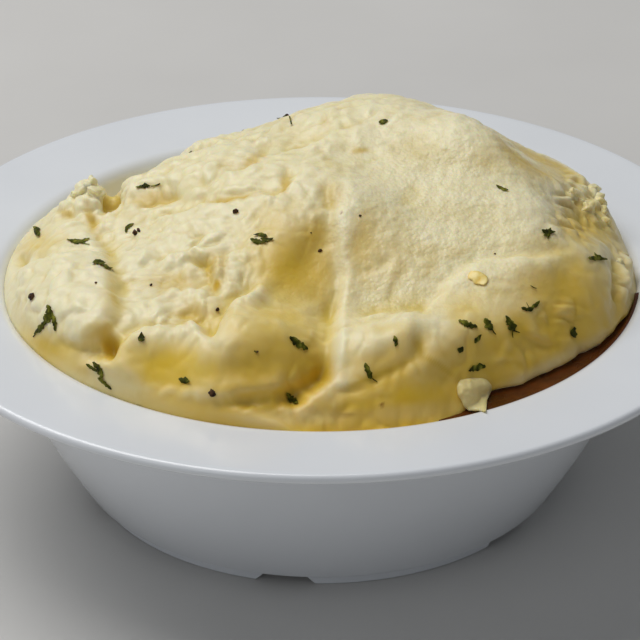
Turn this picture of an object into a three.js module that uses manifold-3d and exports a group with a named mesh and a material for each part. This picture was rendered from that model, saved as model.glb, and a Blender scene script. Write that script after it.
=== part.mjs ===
// A side of mashed potato, heaped in a small round bowl with a wide flat rim.
// Millimetres, +Z up. The origin is the centre of the foot ring, at the level it stands on.
// The front of the serving faces -Y.

import * as THREE from "three";
import { mergeVertices } from "three/addons/utils/BufferGeometryUtils.js";
import Module from "manifold-3d";

const GAP = 0.3; // between pieces that touch
const SECTORS = 72; // round the axis, for every turned piece

// Bowl
const RIM_RADIUS = 82.5;
const BOWL_HEIGHT = 45;
const RIM_THICKNESS = 2;
const RIM_DROP = 0.8; // the rim's inner edge lies this much lower than its outer edge
const MOUTH_RADIUS = 62.4;
const SHOULDER_RADIUS = 3; // rounding between the rim and the inner wall
const WALL_THICKNESS = 3;
const WALL_FOOT_RADIUS = 49; // outside of the wall, just above the foot ring
const WALL_CURVE = 1.5; // 1 is a straight cone, more is a fuller curve
const UNDER_RIM_ROUND = 2.4; // fillet between the wall and the rim's underside
const BASE_THICKNESS = 3;
const FLOOR_ROUND = 9; // inside, between the floor and the wall
const FOOT_RADIUS = 46.8;
const FOOT_WIDTH = 4;
const FOOT_HEIGHT = 3;
const NOTCH_COUNT = 6; // drainage notches in the foot ring
const NOTCH_TURN = THREE.MathUtils.degToRad(-98.3);
const NOTCH_ROOF_WIDTH = 8.5;
const NOTCH_MOUTH_WIDTH = 12.3;
const NOTCH_DEPTH = 1.8;

// Mash: the crown
const PEAK = { x: 14, y: 15, z: 73.4 };
const LEFT_FALL = 14; // how far the top falls towards the left
const LEFT_REACH = 30;
const RIGHT_FALL = 0.2; // per mm
const RIGHT_BEND = 0.012; // per mm squared, beyond the flat part
const RIGHT_FLAT = 22;
const CORNER_FALL = 0.01; // per mm squared from the peak, as are the next two
const BACK_FALL = 0.015;
const FRONT_FALL = 0.003;
const FRONT_SLOPE = 0.22; // per mm, on the right half
const FRONT_START = 6;
const FRONT_SLOPE_FROM = -22;
const FRONT_SLOPE_TO = 14;
const LOWEST_TOP = 36.5;
const TOP_BLEND = 4;

// Mash: the side, by direction in degrees. Rise over the edge, steepness and root of its curve.
const PLAIN_SIDE = { rise: 28, steepness: 4.6, root: 0.62 };
const SIDES = [
  { direction: 163, spread: 42, rise: 26, steepness: 1.7, root: 0.8 },
  { direction: -2, spread: 17, rise: 25, steepness: 3.4, root: 0.95 },
  { direction: 134, spread: 12, rise: 42, steepness: 3.1, root: 0.89 },
  { direction: -45, spread: 26, rise: 28, steepness: 3.6, root: 0.8 },
];
const OWN_SIDE_FROM = 0.2; // shares of the way out between which a direction's numbers set in
const OWN_SIDE_TO = 0.55;

// Mash: the edge, where it meets the bowl
const EDGE_LEVEL = 43;
const EDGE_WAVES = [
  { waves: 3, start: 1, height: 0.3 },
  { waves: 5, start: 2.4, height: 0.25 },
  { waves: 11, start: 0.6, height: 0.12 },
];
const EDGE_RISES = [
  { direction: 1, spread: 12, height: -0.9 },
  { direction: -38, spread: 22, height: 0.5 },
  { direction: 135, spread: 16, height: -7 },
];

// Mash: swellings and hollows: place, half sizes, turn in degrees, height, squareness
const SWELLS = [
  { x: -43, y: 39, a: 10, b: 13, turn: 40, height: -7.5, square: 3 },
  { x: -50, y: -24, a: 12, b: 20, turn: 10, height: 1.5, square: 2.5 },
  { x: -26, y: -42, a: 24, b: 10, turn: -4, height: 4, square: 2.4 },
  { x: 24, y: -48, a: 22, b: 9, turn: 28, height: 2.5, square: 2.2 },
  { x: 56, y: -20, a: 7, b: 16, turn: 8, height: 2.5, square: 2.4 },
  { x: 6, y: -34, a: 22, b: 11, turn: 0, height: -3.4, square: 2.2 },
  { x: 14, y: -6, a: 22, b: 11, turn: 90, height: -2.9, square: 2.2 },
  { x: 30, y: 10, a: 16, b: 8, turn: 135, height: 2.9, square: 2.2 },
  { x: 26, y: -42, a: 22, b: 11, turn: 45, height: 2.7, square: 2.2 },
  { x: 42, y: -14, a: 16, b: 8, turn: 90, height: 1.8, square: 2.2 },
  { x: 2, y: -50, a: 22, b: 11, turn: 0, height: 1.9, square: 2.2 },
  { x: -10, y: -50, a: 16, b: 8, turn: 45, height: 2.9, square: 2.2 },
  { x: -22, y: -42, a: 16, b: 8, turn: 0, height: -2.2, square: 2.2 },
  { x: 2, y: -14, a: 16, b: 8, turn: 45, height: 2.3, square: 2.2 },
  { x: 2, y: 10, a: 22, b: 11, turn: 135, height: -2.2, square: 2.2 },
  { x: -31, y: 17, a: 20, b: 11, turn: 135, height: 4.2, square: 2.2 },
  { x: -39, y: 25, a: 5, b: 9, turn: 30, height: -5.5, square: 2.4 },
  { x: -47.5, y: 15, a: 6, b: 7, turn: 0, height: 1.5, square: 2.4 },
  { x: -30, y: 24, a: 9, b: 9, turn: 0, height: -1.4, square: 2.4 },
  { x: -42, y: 17, a: 2.6, b: 9, turn: 8, height: -4.4, square: 2.4 },
  { x: 45, y: 20, a: 13, b: 11, turn: -30, height: -5, square: 2.2 },
  { x: 56, y: 21, a: 5, b: 8, turn: 0, height: 1.6, square: 2.2 },
  { x: 8, y: 22, a: 22, b: 10, turn: 0, height: 1, square: 2.2 },
  { x: -38, y: 2, a: 22, b: 11, turn: 45, height: -3.8, square: 2.2 },
  { x: -46, y: -14, a: 22, b: 11, turn: 45, height: -2.5, square: 2.2 },
];
const SWELL_FADE = 0.88; // share of the way to the edge at which they start to fade

// Mash: creases between its folds: route, half width and depth
const CREASES = [
  { route: [[-42, 2], [-41, -14], [-39, -44]], width: 4, depth: 2.6 },
  { route: [[2, -14], [4, -34], [4.5, -53], [1.5, -60]], width: 3.4, depth: 3.2 },
  { route: [[-16, -60], [1.5, -57.5], [5, -52]], width: 2.6, depth: 2 },
];
const TOP_ROWS = 17;
const EDGE_ROW_POWER = 0.62; // below 1 the rows crowd towards the edge
const WALL_ROWS = [0.06, 0.35, 0.6, 0.8, 0.95, 1]; // from the gravy's floor up to the edge

// Brown gravy, in the strip where the mash stays back from the wall at the front right
const GRAVY_GAP = [ // direction in degrees, distance between the mash's edge and the wall
  [-70, 0], [-65, 2.2], [-60, 5.6], [-55, 6.1], [-50, 5.1], [-45, 4.6], [-40, 4.2],
  [-35, 3.8], [-30, 2.9], [-25, 2.1], [-20, 1.6], [-15, 1.1], [-10, 0.5], [-5, 0],
];
const GRAVY_FLOOR = 34;
const GRAVY_LEVEL = 42.2;
const UNDERCUT = 1.6; // how far the mash's edge hangs over the gravy
const GRAVY_FROM = -65; // directions between which the gravy shows
const GRAVY_TO = -15;
const GRAVY_SECTIONS = 11;

const wasm = await Module();
wasm.setup();

function toSolid(geometry) {
  const bare = geometry.clone();
  bare.deleteAttribute("normal");
  bare.deleteAttribute("uv");
  const merged = mergeVertices(bare, 1e-4);
  return new wasm.Manifold(
    new wasm.Mesh({
      numProp: 3,
      vertProperties: new Float32Array(merged.attributes.position.array),
      triVerts: new Uint32Array(merged.index.array),
    }),
  );
}

function toGeometry(solid) {
  const mesh = solid.getMesh();
  const geometry = new THREE.BufferGeometry();
  geometry.setAttribute("position", new THREE.BufferAttribute(mesh.vertProperties, 3));
  geometry.setIndex(new THREE.BufferAttribute(mesh.triVerts, 1));
  geometry.computeVertexNormals();
  return geometry;
}

// Points [radius, height] on an arc about [cx, cz], from one angle to another in degrees.
function arc(cx, cz, radiusX, radiusZ, from, to, steps) {
  const points = [];
  for (let i = 0; i <= steps; i++) {
    const angle = THREE.MathUtils.degToRad(from + ((to - from) * i) / steps);
    points.push([cx + radiusX * Math.cos(angle), cz + radiusZ * Math.sin(angle)]);
  }
  return points;
}

// A solid turned about Z from a profile of [radius, height] that starts and ends on the axis.
function turned(profile) {
  const points = profile.map(([r, z]) => new THREE.Vector2(r, z));
  return new THREE.LatheGeometry(points, SECTORS).rotateX(Math.PI / 2);
}

const RIM_UNDERSIDE = BOWL_HEIGHT - RIM_DROP - RIM_THICKNESS;
const WALL_TOP_RADIUS = MOUTH_RADIUS + WALL_THICKNESS;
const FLOOR_LEVEL = FOOT_HEIGHT + BASE_THICKNESS;

// Outside radius of the wall at a height: upright under the rim and curving in to the foot.
function wallRadius(z) {
  const down = (RIM_UNDERSIDE - z) / (RIM_UNDERSIDE - FOOT_HEIGHT);
  const u = THREE.MathUtils.clamp(down, 0, 1);
  return WALL_FOOT_RADIUS + (WALL_TOP_RADIUS - WALL_FOOT_RADIUS) * (1 - u ** WALL_CURVE);
}

// Inside of the bowl from the axis up to a height, set back from the surface by an amount.
function insideProfile(upTo, back, wallSteps) {
  const wallStart = FLOOR_LEVEL + FLOOR_ROUND;
  const foot = wallRadius(wallStart) - WALL_THICKNESS;
  const round = arc(foot - FLOOR_ROUND, wallStart, FLOOR_ROUND - back, FLOOR_ROUND - back, -90, 0, 4);
  const points = [[0, FLOOR_LEVEL + back], ...round];
  for (let i = 1; i <= wallSteps; i++) {
    const z = wallStart + ((upTo - wallStart) * i) / wallSteps;
    points.push([wallRadius(z) - WALL_THICKNESS - back, z]);
  }
  return points;
}

function bowlProfile() {
  const lip = RIM_THICKNESS / 2;
  const shoulderLevel = BOWL_HEIGHT - RIM_DROP - SHOULDER_RADIUS;
  const inner = FOOT_RADIUS - FOOT_WIDTH;
  const outside = [
    [0, FOOT_HEIGHT],
    [inner - 0.5, FOOT_HEIGHT],
    [inner, 0.3],
    [inner + 0.3, 0],
    [FOOT_RADIUS - 0.6, 0],
    [FOOT_RADIUS, 0.6],
    [FOOT_RADIUS, FOOT_HEIGHT - 0.4],
  ];
  const wallTop = RIM_UNDERSIDE - UNDER_RIM_ROUND;
  for (let i = 0; i <= 6; i++) {
    const z = FOOT_HEIGHT + ((wallTop - FOOT_HEIGHT) * i) / 6;
    outside.push([wallRadius(z), z]);
  }
  const underRim = arc(
    wallRadius(wallTop) + UNDER_RIM_ROUND, wallTop, UNDER_RIM_ROUND, UNDER_RIM_ROUND, 150, 90, 2);
  const lipEdge = arc(RIM_RADIUS - lip, BOWL_HEIGHT - lip, lip, lip, -90, 90, 4);
  const shoulder = arc(
    MOUTH_RADIUS + SHOULDER_RADIUS, shoulderLevel, SHOULDER_RADIUS, SHOULDER_RADIUS, 90, 180, 4);
  const inside = insideProfile(shoulderLevel, 0, 4).reverse();
  return [...outside, ...underRim, ...lipEdge, ...shoulder, ...inside.slice(1)];
}

// One notch: a trapezoid across the foot ring, wider at the bottom.
function notch(index) {
  const below = 1;
  const flare = (NOTCH_MOUTH_WIDTH - NOTCH_ROOF_WIDTH) / 2 / NOTCH_DEPTH;
  const mouth = NOTCH_MOUTH_WIDTH / 2 + flare * below;
  const outline = new THREE.Shape([
    new THREE.Vector2(-mouth, -below),
    new THREE.Vector2(mouth, -below),
    new THREE.Vector2(NOTCH_ROOF_WIDTH / 2, NOTCH_DEPTH),
    new THREE.Vector2(-NOTCH_ROOF_WIDTH / 2, NOTCH_DEPTH),
  ]);
  const length = FOOT_WIDTH + 6;
  const block = new THREE.ExtrudeGeometry(outline, { depth: length, bevelEnabled: false });
  block.rotateX(Math.PI / 2);
  block.rotateZ(Math.PI / 2);
  block.translate(FOOT_RADIUS - FOOT_WIDTH - 3, 0, 0);
  block.rotateZ(NOTCH_TURN + (index * 2 * Math.PI) / NOTCH_COUNT);
  return toSolid(block);
}

function bowl() {
  let solid = toSolid(turned(bowlProfile()));
  for (let i = 0; i < NOTCH_COUNT; i++) {
    solid = solid.subtract(notch(i));
  }
  return toGeometry(solid);
}

// The lower of two values, with a rounded change from one to the other.
function softLower(a, b, blend) {
  const h = THREE.MathUtils.clamp(0.5 + (0.5 * (b - a)) / blend, 0, 1);
  return b * (1 - h) + a * h - blend * h * (1 - h);
}

function swellAt(swell, x, y) {
  const turn = THREE.MathUtils.degToRad(swell.turn);
  const dx = x - swell.x;
  const dy = y - swell.y;
  const u = (dx * Math.cos(turn) + dy * Math.sin(turn)) / swell.a;
  const v = (dy * Math.cos(turn) - dx * Math.sin(turn)) / swell.b;
  return swell.height * Math.exp(-(Math.hypot(u, v) ** swell.square));
}

function distanceToRoute(x, y, route) {
  let nearest = Infinity;
  for (let i = 1; i < route.length; i++) {
    const [ax, ay] = route[i - 1];
    const [bx, by] = route[i];
    const along = ((x - ax) * (bx - ax) + (y - ay) * (by - ay)) / ((bx - ax) ** 2 + (by - ay) ** 2);
    const t = THREE.MathUtils.clamp(along, 0, 1);
    nearest = Math.min(nearest, Math.hypot(x - ax - t * (bx - ax), y - ay - t * (by - ay)));
  }
  return nearest;
}

function smoothStep(low, high, x) {
  const t = THREE.MathUtils.clamp((x - low) / (high - low), 0, 1);
  return t * t * (3 - 2 * t);
}

// 1 in a direction and falling off to each side of it, all in degrees.
function nearDirection(degrees, direction, spread) {
  const away = THREE.MathUtils.euclideanModulo(degrees - direction + 180, 360) - 180;
  return Math.exp(-((away / spread) ** 2));
}

// Inside radius of the bowl at a height, set back from its wall and shoulder by an amount.
function contactRadius(z, back) {
  const centre = BOWL_HEIGHT - RIM_DROP - SHOULDER_RADIUS;
  if (z <= centre) {
    return wallRadius(z) - WALL_THICKNESS - back;
  }
  return MOUTH_RADIUS + SHOULDER_RADIUS - Math.sqrt((SHOULDER_RADIUS + back) ** 2 - (z - centre) ** 2);
}

function edgeLevel(angle) {
  const degrees = THREE.MathUtils.radToDeg(angle);
  let level = EDGE_LEVEL;
  for (const wave of EDGE_WAVES) {
    level += wave.height * Math.sin(wave.waves * angle + wave.start);
  }
  for (const rise of EDGE_RISES) {
    level += rise.height * nearDirection(degrees, rise.direction, rise.spread);
  }
  return level;
}

// How far the mash's edge stays back from the wall.
function gravyGap(angle) {
  const degrees = THREE.MathUtils.euclideanModulo(THREE.MathUtils.radToDeg(angle) + 180, 360) - 180;
  for (let i = 1; i < GRAVY_GAP.length; i++) {
    const [from, first] = GRAVY_GAP[i - 1];
    const [to, second] = GRAVY_GAP[i];
    if (degrees >= from && degrees <= to) {
      return first + ((second - first) * (degrees - from)) / (to - from);
    }
  }
  return 0;
}

function edgeRadius(angle) {
  return contactRadius(Math.max(edgeLevel(angle), LOWEST_TOP), GAP) - gravyGap(angle);
}

// Radius of the mash's side over the gravy, under its hanging edge.
function recessRadius(angle) {
  return edgeRadius(angle) - UNDERCUT * smoothStep(0, 1, gravyGap(angle));
}

// Height that the heap's side allows at a place in the mouth. It is the same all round near the
// middle and takes on each direction's own numbers further out.
function sideHeight(x, y) {
  const angle = Math.atan2(y, x);
  const degrees = THREE.MathUtils.radToDeg(angle);
  const out = Math.min(Math.hypot(x, y) / edgeRadius(angle), 1);
  const own = smoothStep(OWN_SIDE_FROM, OWN_SIDE_TO, out);
  const shape = { ...PLAIN_SIDE };
  for (const side of SIDES) {
    const near = own * nearDirection(degrees, side.direction, side.spread);
    for (const key of Object.keys(shape)) {
      shape[key] += (side[key] - PLAIN_SIDE[key]) * near;
    }
  }
  const level = EDGE_LEVEL + (edgeLevel(angle) - EDGE_LEVEL) * own;
  return level + shape.rise * (1 - out ** shape.steepness) ** shape.root;
}

function crownHeight(x, y) {
  const left = Math.max(PEAK.x - x, 0);
  const right = Math.max(x - PEAK.x, 0);
  const back = Math.max(y - PEAK.y, 0);
  const front = Math.max(PEAK.y - y, 0);
  const slope = FRONT_SLOPE * smoothStep(FRONT_SLOPE_FROM, FRONT_SLOPE_TO, x);
  let z = PEAK.z - LEFT_FALL * (1 - Math.exp(-((left / LEFT_REACH) ** 2)));
  z -= RIGHT_FALL * right + RIGHT_BEND * Math.max(right - RIGHT_FLAT, 0) ** 2;
  z -= CORNER_FALL * right * back + BACK_FALL * back ** 2 + FRONT_FALL * front ** 2;
  z -= slope * (Math.hypot(front, FRONT_START) - FRONT_START);
  return z;
}

function topHeight(x, y) {
  const out = Math.hypot(x, y) / edgeRadius(Math.atan2(y, x));
  const fade = 1 - smoothStep(SWELL_FADE, 1, out);
  let z = softLower(crownHeight(x, y), sideHeight(x, y), TOP_BLEND);
  for (const swell of SWELLS) {
    z += fade * swellAt(swell, x, y);
  }
  for (const crease of CREASES) {
    const d = distanceToRoute(x, y, crease.route);
    z -= fade * crease.depth * Math.exp(-((d / crease.width) ** 1.5));
  }
  return Math.max(z, LOWEST_TOP);
}

// The heap in one direction, as [radius, height]: up the bowl's inside, then in over the top.
function mashRows(angle) {
  const rows = insideProfile(GRAVY_FLOOR, GAP, 3).slice(1);
  const top = Math.max(edgeLevel(angle), LOWEST_TOP);
  for (const share of WALL_ROWS) {
    const z = GRAVY_FLOOR + (top - GRAVY_FLOOR) * share;
    const radius = share < 1 ? recessRadius(angle) : edgeRadius(angle);
    rows.push([Math.min(contactRadius(z, GAP), radius), z]);
  }
  for (let i = 1; i <= TOP_ROWS; i++) {
    const inward = i / (TOP_ROWS + 1);
    const radius = edgeRadius(angle) * (1 - inward ** (1 / EDGE_ROW_POWER));
    rows.push([radius, topHeight(radius * Math.cos(angle), radius * Math.sin(angle))]);
  }
  return rows;
}

function mash() {
  const rows = mashRows(0).length;
  const positions = [];
  for (let i = 0; i < SECTORS; i++) {
    const angle = (i * 2 * Math.PI) / SECTORS;
    for (const [radius, z] of mashRows(angle)) {
      positions.push(radius * Math.cos(angle), radius * Math.sin(angle), z);
    }
  }
  const bottom = SECTORS * rows;
  positions.push(0, 0, FLOOR_LEVEL + GAP, 0, 0, topHeight(0, 0));
  const triangles = [];
  const at = (i, row) => (i % SECTORS) * rows + row;
  for (let i = 0; i < SECTORS; i++) {
    triangles.push(bottom, at(i + 1, 0), at(i, 0));
    triangles.push(bottom + 1, at(i, rows - 1), at(i + 1, rows - 1));
    for (let row = 1; row < rows; row++) {
      triangles.push(at(i, row - 1), at(i + 1, row - 1), at(i + 1, row));
      triangles.push(at(i, row - 1), at(i + 1, row), at(i, row));
    }
  }
  return indexedGeometry(positions, triangles);
}

function indexedGeometry(positions, triangles) {
  const geometry = new THREE.BufferGeometry();
  geometry.setAttribute("position", new THREE.Float32BufferAttribute(positions, 3));
  geometry.setIndex(triangles);
  geometry.computeVertexNormals();
  return geometry;
}

// The strip of gravy: one five-sided section after another along the wall.
function gravy() {
  const bottom = GRAVY_FLOOR + 1;
  const bend = BOWL_HEIGHT - RIM_DROP - SHOULDER_RADIUS;
  const positions = [];
  for (let i = 0; i < GRAVY_SECTIONS; i++) {
    const share = i / (GRAVY_SECTIONS - 1);
    const angle = THREE.MathUtils.degToRad(GRAVY_FROM + (GRAVY_TO - GRAVY_FROM) * share);
    const near = recessRadius(angle) + GAP;
    const section = [
      [near, bottom],
      [contactRadius(bottom, GAP), bottom],
      [contactRadius(bend, GAP), bend],
      [contactRadius(GRAVY_LEVEL, GAP), GRAVY_LEVEL],
      [near, GRAVY_LEVEL],
    ];
    for (const [radius, z] of section) {
      positions.push(radius * Math.cos(angle), radius * Math.sin(angle), z);
    }
  }
  const triangles = [];
  for (let i = 1; i < GRAVY_SECTIONS; i++) {
    for (let j = 0; j < 5; j++) {
      const k = (j + 1) % 5;
      const [a, b] = [(i - 1) * 5 + j, (i - 1) * 5 + k];
      triangles.push(a, b + 5, b, a, a + 5, b + 5);
    }
  }
  const end = (GRAVY_SECTIONS - 1) * 5;
  for (let j = 1; j < 4; j++) {
    triangles.push(0, j, j + 1, end, end + j + 1, end + j);
  }
  return indexedGeometry(positions, triangles);
}

function piece(name, geometry, color, roughness) {
  const mesh = new THREE.Mesh(geometry, new THREE.MeshStandardMaterial({ color, roughness }));
  mesh.name = name;
  return mesh;
}

const serving = new THREE.Group();
serving.add(piece("bowl", bowl(), 0xe9edf1, 0.25));
serving.add(piece("mashed_potato", mash(), 0xe4d69a, 0.5));
serving.add(piece("brown_gravy", gravy(), 0x6b3a12, 0.3));

export default serving;
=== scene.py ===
"""Looks of a mashed potato side in its white rimmed bowl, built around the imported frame.

Shapes are worked out in millimetres, in the frame's own axes, and turned into metres when a
mesh is made. Places named in pixels belong to a 640 x 640 picture taken by the scene's camera,
and every one of them is cast onto the surface that carries it.
"""

import itertools
import math
import re

import bmesh
import bpy
import numpy as np
from mathutils import Matrix, Vector
from mathutils.bvhtree import BVHTree
from mathutils.kdtree import KDTree


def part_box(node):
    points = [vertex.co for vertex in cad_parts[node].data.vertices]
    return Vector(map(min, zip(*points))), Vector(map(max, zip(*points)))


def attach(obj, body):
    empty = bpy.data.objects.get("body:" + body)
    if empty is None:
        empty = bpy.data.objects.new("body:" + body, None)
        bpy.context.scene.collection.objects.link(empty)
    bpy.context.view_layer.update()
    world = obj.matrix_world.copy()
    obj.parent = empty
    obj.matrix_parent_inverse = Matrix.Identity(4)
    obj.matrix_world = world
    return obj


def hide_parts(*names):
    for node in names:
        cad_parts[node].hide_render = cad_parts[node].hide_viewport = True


MM = 0.001  # one millimetre, in metres

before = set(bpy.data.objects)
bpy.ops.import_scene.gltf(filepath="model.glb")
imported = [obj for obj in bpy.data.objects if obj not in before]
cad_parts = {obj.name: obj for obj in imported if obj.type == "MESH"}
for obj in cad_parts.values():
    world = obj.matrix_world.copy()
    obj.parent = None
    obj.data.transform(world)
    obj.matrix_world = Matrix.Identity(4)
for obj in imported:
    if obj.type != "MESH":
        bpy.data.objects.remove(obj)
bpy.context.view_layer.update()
bowl_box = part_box("bowl")

RIM_RADIUS = bowl_box[1].x / MM
BOWL_HEIGHT = bowl_box[1].z / MM

# ---- bowl sizes, as in the frame
RIM_THICKNESS = 2.0
RIM_DROP = 0.8
MOUTH_RADIUS = 62.4
SHOULDER_RADIUS = 3.0
WALL_THICKNESS = 3.0
WALL_FOOT_RADIUS = 49.0
WALL_CURVE = 1.5
UNDER_RIM_ROUND = 2.4
BASE_THICKNESS = 3.0
FLOOR_ROUND = 9.0
FOOT_RADIUS = 46.8
FOOT_WIDTH = 4.0
FOOT_HEIGHT = 3.0
FOOT_ROUND = 0.6
NOTCH_COUNT = 6
NOTCH_TURN = -98.3
NOTCH_ROOF_WIDTH = 8.5
NOTCH_MOUTH_WIDTH = 12.3
NOTCH_DEPTH = 1.8
NOTCH_BELOW, NOTCH_PAST = 1.0, 3.0  # how far the cutter reaches past the foot ring
BOWL_SECTORS = 288

FLOOR_LEVEL = FOOT_HEIGHT + BASE_THICKNESS
RIM_UNDERSIDE = BOWL_HEIGHT - RIM_DROP - RIM_THICKNESS
WALL_TOP_RADIUS = MOUTH_RADIUS + WALL_THICKNESS

# ---- camera, fitted to the rim
PICTURE = 640
VIEW_ELEVATION = math.radians(27.10)
RADII_AWAY = 9  # how many rim radii the camera is away
VIEW_DISTANCE = RADII_AWAY * RIM_RADIUS
FOCAL_PIXELS = 414.8 * RADII_AWAY
VIEW_LIFT = -0.0136  # how far the view axis is raised from the bowl's centre, as a slope
SENSOR_MM = 36.0
NEAREST, FARTHEST = 0.05, 20  # what the camera shows, in metres


def numbers(text, marks=","):
    """The numbers of a table that is set as text, split at each of the marks in turn."""
    text = re.sub("#.*", "", text)
    if marks:
        return [numbers(part, marks[1:]) for part in text.split(marks[0])]
    return [float(word) for word in text.split()]


def add_object(name, data):
    thing = bpy.data.objects.new(name, data)
    bpy.context.scene.collection.objects.link(thing)
    return thing


def unit(v):
    v = np.asarray(v, float)
    return v / np.linalg.norm(v, axis=-1, keepdims=True)


EYE = np.array([
    0.0,
    -VIEW_DISTANCE * math.cos(VIEW_ELEVATION),
    BOWL_HEIGHT - RIM_DROP / 2 + VIEW_DISTANCE * math.sin(VIEW_ELEVATION),
])
RIGHT = np.array([1.0, 0.0, 0.0])
LEVEL_VIEW = np.array([0.0, math.cos(VIEW_ELEVATION), -math.sin(VIEW_ELEVATION)])
VIEW = unit(LEVEL_VIEW + VIEW_LIFT * np.cross(RIGHT, LEVEL_VIEW))
UP = np.cross(RIGHT, VIEW)


def to_pixels(points):
    """Where points in millimetres appear in the picture."""
    p = np.asarray(points, float) - EYE
    depth = p @ VIEW
    across = PICTURE / 2 + FOCAL_PIXELS * (p @ RIGHT) / depth
    down = PICTURE / 2 - FOCAL_PIXELS * (p @ UP) / depth
    return np.stack([across, down], -1)


def pixel_ray(pixel):
    """Way from the camera through a pixel."""
    across = (pixel[0] - PICTURE / 2) / FOCAL_PIXELS
    down = (PICTURE / 2 - pixel[1]) / FOCAL_PIXELS
    return unit(VIEW + RIGHT * across + UP * down)


def make_camera():
    data = bpy.data.cameras.new("camera")
    data.sensor_width = SENSOR_MM
    data.lens = FOCAL_PIXELS / PICTURE * SENSOR_MM
    data.clip_start, data.clip_end = NEAREST, FARTHEST
    camera = add_object("camera", data)
    turn = Matrix((RIGHT, UP, -VIEW)).transposed().to_4x4()
    camera.matrix_world = Matrix.Translation(Vector(EYE * MM)) @ turn
    bpy.context.scene.camera = camera


# ---- numbers and noise
def fade(low, high, x):
    """0 on the low side, 1 on the high side and an even curve between them."""
    t = np.clip((x - low) / (high - low), 0, 1)
    return t * t * (3 - 2 * t)


def soft_lower(a, b, blend):
    """The lower of two heights, blended where they meet."""
    h = np.clip(0.5 + 0.5 * (b - a) / blend, 0, 1)
    return b * (1 - h) + a * h - blend * h * (1 - h)


NOISE_GAIN = 1.7  # brings the noise's range to about -1 to 1


def picks(table, cell):
    """A number from 0 to 255 for each cell of a space grid, out of a shuffled table."""
    row = table[(table[cell[:, 0] & 255] + cell[:, 1]) & 255]
    return table[(row + cell[:, 2]) & 255]


def gradient_noise(points, seed):
    """Smooth noise between about -1 and 1, with cells of size 1."""
    rng = np.random.default_rng(seed)
    table = rng.permutation(256)
    slopes = unit(rng.normal(size=(256, 3)))
    cell = np.floor(points).astype(int)
    inside = points - cell
    blend = inside ** 3 * (inside * (inside * 6 - 15) + 10)
    total = np.zeros(len(points))
    for corner in itertools.product((0, 1), repeat=3):
        slope = slopes[picks(table, cell + corner)]
        weight = np.where(corner, blend, 1 - blend).prod(1)
        total += weight * (slope * (inside - corner)).sum(1)
    return total * NOISE_GAIN


def layered_noise(points, size, layers, seed):
    """Noise in layers, each half the size and strength of the last."""
    strengths = [0.5 ** layer for layer in range(layers)]
    total = sum(strength * gradient_noise(points / size / strength, seed + layer)
                for layer, strength in enumerate(strengths))
    return total / sum(strengths)


def blur_grid(values, reach):
    """Box blur done three times over a square grid, which is close to a round blur."""
    size = 2 * reach + 1
    for axis in (0, 1) * 3:
        rows = np.moveaxis(values, axis, 0)
        rows = np.concatenate([rows[:1]] * (reach + 1) + [rows] + [rows[-1:]] * reach)
        run = np.cumsum(rows, axis=0)
        values = np.moveaxis((run[size:] - run[:-size]) / size, 0, axis)
    return values


def smooth_route(points, step=3.0):
    """A curve through given points, as short straight steps."""
    p = np.asarray(points, float)
    if len(p) == 2:
        return p
    ends = np.vstack([2 * p[0] - p[1], p, 2 * p[-1] - p[-2]])
    out = []
    for a, b, c, d in zip(ends, ends[1:], ends[2:], ends[3:]):
        count = max(2, int(np.linalg.norm(c - b) / step))
        for t in np.arange(count) / count:
            out.append(0.5 * (2 * b + (c - a) * t + (2 * a - 5 * b + 4 * c - d) * t ** 2
                              + (3 * b - a - 3 * c + d) * t ** 3))
    out.append(p[-1])
    return np.array(out)


def run_length(line):
    """How far along a line each of its points is."""
    steps = np.linalg.norm(np.diff(line, axis=0), axis=1)
    return np.concatenate([[0], np.cumsum(steps)])


def near_route(points, route):
    """Distance to a route, which side of it (+1 left as seen on a page) and how far along."""
    best = np.full(len(points), 1e9)
    side = np.ones(len(points))
    along = np.zeros(len(points))
    run = run_length(route)
    for a, b, start, end in zip(route, route[1:], run, run[1:]):
        ab = b - a
        t = np.clip(((points - a) @ ab) / (ab @ ab), 0, 1)
        away = points - a - t[:, None] * ab
        d = np.hypot(away[:, 0], away[:, 1])
        near = d < best
        cross = ab[0] * away[:, 1] - ab[1] * away[:, 0]
        best = np.where(near, d, best)
        side = np.where(near, np.where(cross < 0, 1.0, -1.0), side)
        along = np.where(near, (start + t * (end - start)) / run[-1], along)
    return best, side, along


# ---- meshes
def make_mesh(name, points, faces, slot, material, replaces=None, smooth=True):
    mesh = bpy.data.meshes.new(name)
    mesh.from_pydata((np.asarray(points) * MM).tolist(), [], [list(map(int, f)) for f in faces])
    mesh.validate()
    mesh.polygons.foreach_set("use_smooth", [smooth] * len(mesh.polygons))
    mesh.materials.append(material)
    piece = add_object(name, mesh)
    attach(piece, "root")
    if replaces:
        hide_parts(replaces)
    return piece


def ring_faces(first, second):
    """Quads between two closed rings of vertex numbers."""
    turned_first, turned_second = np.roll(first, -1), np.roll(second, -1)
    return np.stack([first, turned_first, turned_second, second], -1).tolist()


def grid_faces(index):
    """Quads of a grid of vertex numbers."""
    quads = [index[:-1, :-1], index[:-1, 1:], index[1:, 1:], index[1:, :-1]]
    return np.stack(quads, -1).reshape(-1, 4)


def around(index):
    """Vertex numbers round the edge of a grid, in order."""
    return np.concatenate([index[:-1, 0], index[-1, :-1], index[:0:-1, -1], index[0, :0:-1]])


def slab_faces(rows, columns):
    """Faces of a closed body made of two grids, one above the other."""
    upper = np.arange(rows * columns).reshape(rows, columns)
    lower = upper + upper.size
    faces = grid_faces(upper).tolist() + grid_faces(lower)[:, ::-1].tolist()
    return faces + ring_faces(around(lower.T), around(upper.T))


def arc(cx, cz, radius, start, end, steps):
    angles = np.radians(np.linspace(start, end, steps + 1))
    return [(cx + radius * math.cos(a), cz + radius * math.sin(a)) for a in angles]


def polar(radius, angle, z):
    return np.stack([radius * np.cos(angle), radius * np.sin(angle), z], -1)


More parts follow.
